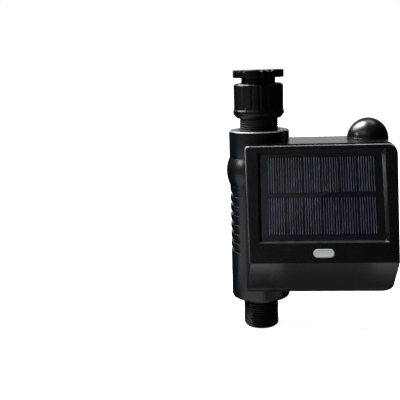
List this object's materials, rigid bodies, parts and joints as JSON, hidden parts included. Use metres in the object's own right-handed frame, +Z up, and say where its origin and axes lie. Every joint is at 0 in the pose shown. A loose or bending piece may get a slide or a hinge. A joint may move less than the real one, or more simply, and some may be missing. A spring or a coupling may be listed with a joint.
{
  "type": "smart water timer",
  "caption": "Tap timer with a swivel coupling above, a ball valve driven through gears, a threaded hose outlet below and a box with a tilted solar panel, button and aerial dome",
  "frame": {"origin": "centre of the inlet adapter's mouth, on the water pipe's axis, where the tap's thread enters", "axes": "+Z up along the pipe toward the tap, +X to the right along the housing seen from the front, -Y to the front, where the solar panel looks"},
  "size_m": [0.1189, 0.0827, 0.1932],
  "materials": {
    "black_plastic": "satin moulded black",
    "black_plastic_fine": "fine-textured black",
    "gloss_black": "polished black",
    "panel_glass": "clear potting over the cells",
    "solar_blue": "dark navy with fine silver lines",
    "panel_back": "dark board",
    "light_key": "light grey silicone",
    "rubber_black": "black seal rubber",
    "ptfe_white": "white fluoropolymer",
    "inner_plastic": "natural acetal",
    "brass_ball": "turned",
    "steel": "plain",
    "chrome_ball": "polished plating",
    "board_green": "solder mask",
    "component_black": "moulded component",
    "connector_white": "natural nylon",
    "cell_wrap": "plain blue sleeve",
    "lead_red": "insulation",
    "lead_dark": "insulation",
    "led_clear": "clear"
  },
  "bodies": {
    "inlet": {"inlet_adapter": "black_plastic_fine", "tap_washer": "rubber_black"},
    "nut": {"coupling_nut": "black_plastic"},
    "ball": {"valve_ball": "chrome_ball", "valve_stem": "steel", "stem_o_rings": "rubber_black", "output_gear": "ptfe_white"},
    "idler_low": {"idler_gear_low": "ptfe_white"},
    "idler_high": {"idler_gear_high": "ptfe_white"},
    "rotor": {"motor_pinion": "brass_ball", "motor_shaft": "steel"},
    "button": {"button_cap": "light_key", "switch_plunger": "component_black"},
    "timer": {"swivel_washer": "rubber_black", "upper_body": "black_plastic", "body_o_ring": "rubber_black", "retaining_ring": "inner_plastic", "filter_screen": "inner_plastic", "valve_body": "black_plastic", "ball_seats": "ptfe_white", "gland_bush": "inner_plastic", "outlet_spigot": "black_plastic_fine", "outlet_o_ring": "rubber_black", "grip_sleeve": "black_plastic", "front_cover": "black_plastic", "rear_housing": "black_plastic", "housing_gasket": "rubber_black", "housing_screws": "steel", "sleeve_screws": "steel", "panel_base": "panel_back", "solar_cells": "solar_blue", "panel_cover": "panel_glass", "tact_switch": "component_black", "button_board": "board_green", "status_leds": "led_clear", "button_board_screws": "steel", "antenna_dome": "gloss_black", "antenna": "board_green", "antenna_base": "inner_plastic", "antenna_lead": "lead_dark", "main_board": "board_green", "board_screws": "steel", "radio_module": "component_black", "board_connectors": "connector_white", "lead_plugs": "connector_white", "battery_leads": "lead_red", "motor_leads": "lead_dark", "panel_leads": "lead_dark", "charge_capacitor": "component_black", "battery_cell": "cell_wrap", "battery_holder": "component_black", "battery_contacts": "steel", "gearbox_case": "inner_plastic", "gearbox_cover": "inner_plastic", "gearbox_screws": "steel", "idler_pins": "steel", "motor_can": "steel", "motor_end_cap": "component_black"}
  },
  "joints": [
    {"name": "swivel", "type": "hinge", "parent": "inlet", "child": "timer", "pos_m": [0, 0, -0.0242], "axis": [0, 0, 1], "continuous": true},
    {"name": "nut_turn", "type": "hinge", "parent": "timer", "child": "nut", "pos_m": [0, 0, -0.0302], "axis": [0, 0, 1], "continuous": true},
    {"name": "valve_turn", "type": "hinge", "parent": "timer", "child": "ball", "pos_m": [0, 0, -0.0732], "axis": [1, 0, 0], "range_deg": [0, 90]},
    {"name": "idler_low_spin", "type": "hinge", "parent": "timer", "child": "idler_low", "pos_m": [0.036, 0, -0.0876], "axis": [1, 0, 0], "range_deg": [-271, 1]},
    {"name": "idler_high_spin", "type": "hinge", "parent": "timer", "child": "idler_high", "pos_m": [0.036, 0, -0.102], "axis": [1, 0, 0], "range_deg": [-1, 811]},
    {"name": "motor_spin", "type": "hinge", "parent": "timer", "child": "rotor", "pos_m": [0.05, 0, -0.1164], "axis": [1, 0, 0], "range_deg": [-2431, 1]},
    {"name": "button_press", "type": "slide", "parent": "timer", "child": "button", "axis": [0, 0.9323, -0.3616], "range_m": [0, 0.0008], "stiffness_N_per_m": 2500, "springref_m": -0.0004}
  ],
  "couplings": [
    {"joint": "idler_low_spin", "follows": "valve_turn", "ratio": -3},
    {"joint": "idler_high_spin", "follows": "valve_turn", "ratio": 9},
    {"joint": "motor_spin", "follows": "valve_turn", "ratio": -27}
  ]
}
